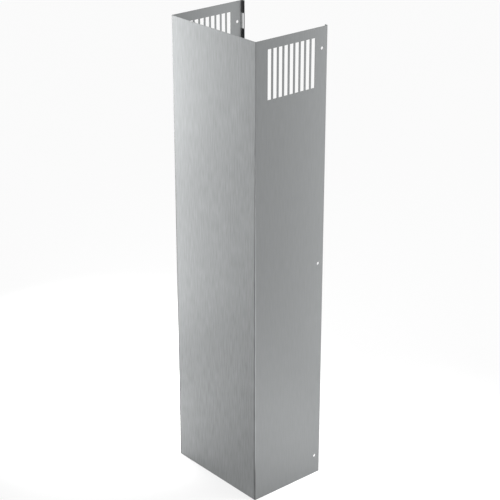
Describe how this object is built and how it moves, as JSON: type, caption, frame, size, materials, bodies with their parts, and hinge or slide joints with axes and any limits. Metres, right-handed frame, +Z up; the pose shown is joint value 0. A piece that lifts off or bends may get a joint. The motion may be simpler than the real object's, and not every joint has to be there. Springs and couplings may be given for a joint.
{
  "type": "cooker hood chimney section",
  "caption": "Tall chimney section for a cooker hood, folded from one brushed steel sheet: open at the rear and both ends, with vent slots near the top and hook slots in its rear returns.",
  "frame": {"origin": "centre of the footprint, on the lower cut edge that the section stands on", "axes": "+Z up along the section, the front wall faces -Y, the open rear with its two returns faces +Y, +X to the right seen from the front"},
  "size_m": [0.255, 0.184, 1],
  "materials": {
    "brushed_stainless": "fine upright brushed grain on the outer and inner faces, satin"
  },
  "bodies": {
    "root": {"chimney_section": "brushed_stainless"}
  },
  "joints": []
}
